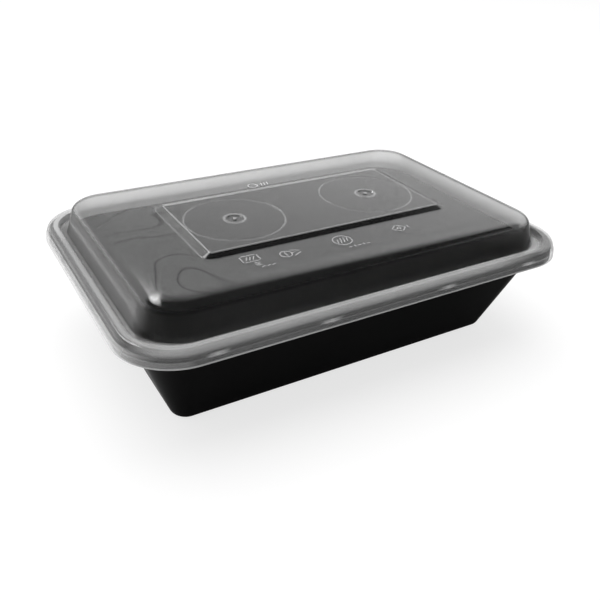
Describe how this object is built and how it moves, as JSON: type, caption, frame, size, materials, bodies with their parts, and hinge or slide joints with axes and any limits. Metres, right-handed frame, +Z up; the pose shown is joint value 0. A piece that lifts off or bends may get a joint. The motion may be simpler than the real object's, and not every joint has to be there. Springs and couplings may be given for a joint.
{
  "type": "takeaway meal container",
  "caption": "Oblong takeaway meal container: a tapered black tray with a clear domed press-on lid, shut and empty.",
  "frame": {"origin": "centre of the tray's base, on the surface it stands on", "axes": "+X along the long side, +Y across it, +Z up through the lid"},
  "size_m": [0.223, 0.1506, 0.0666],
  "materials": {
    "black_plastic": "satin moulded plastic",
    "clear_plastic": "clear glossy plastic, faintly milky"
  },
  "bodies": {
    "root": {"tray": "black_plastic", "lid": "clear_plastic"}
  },
  "joints": []
}
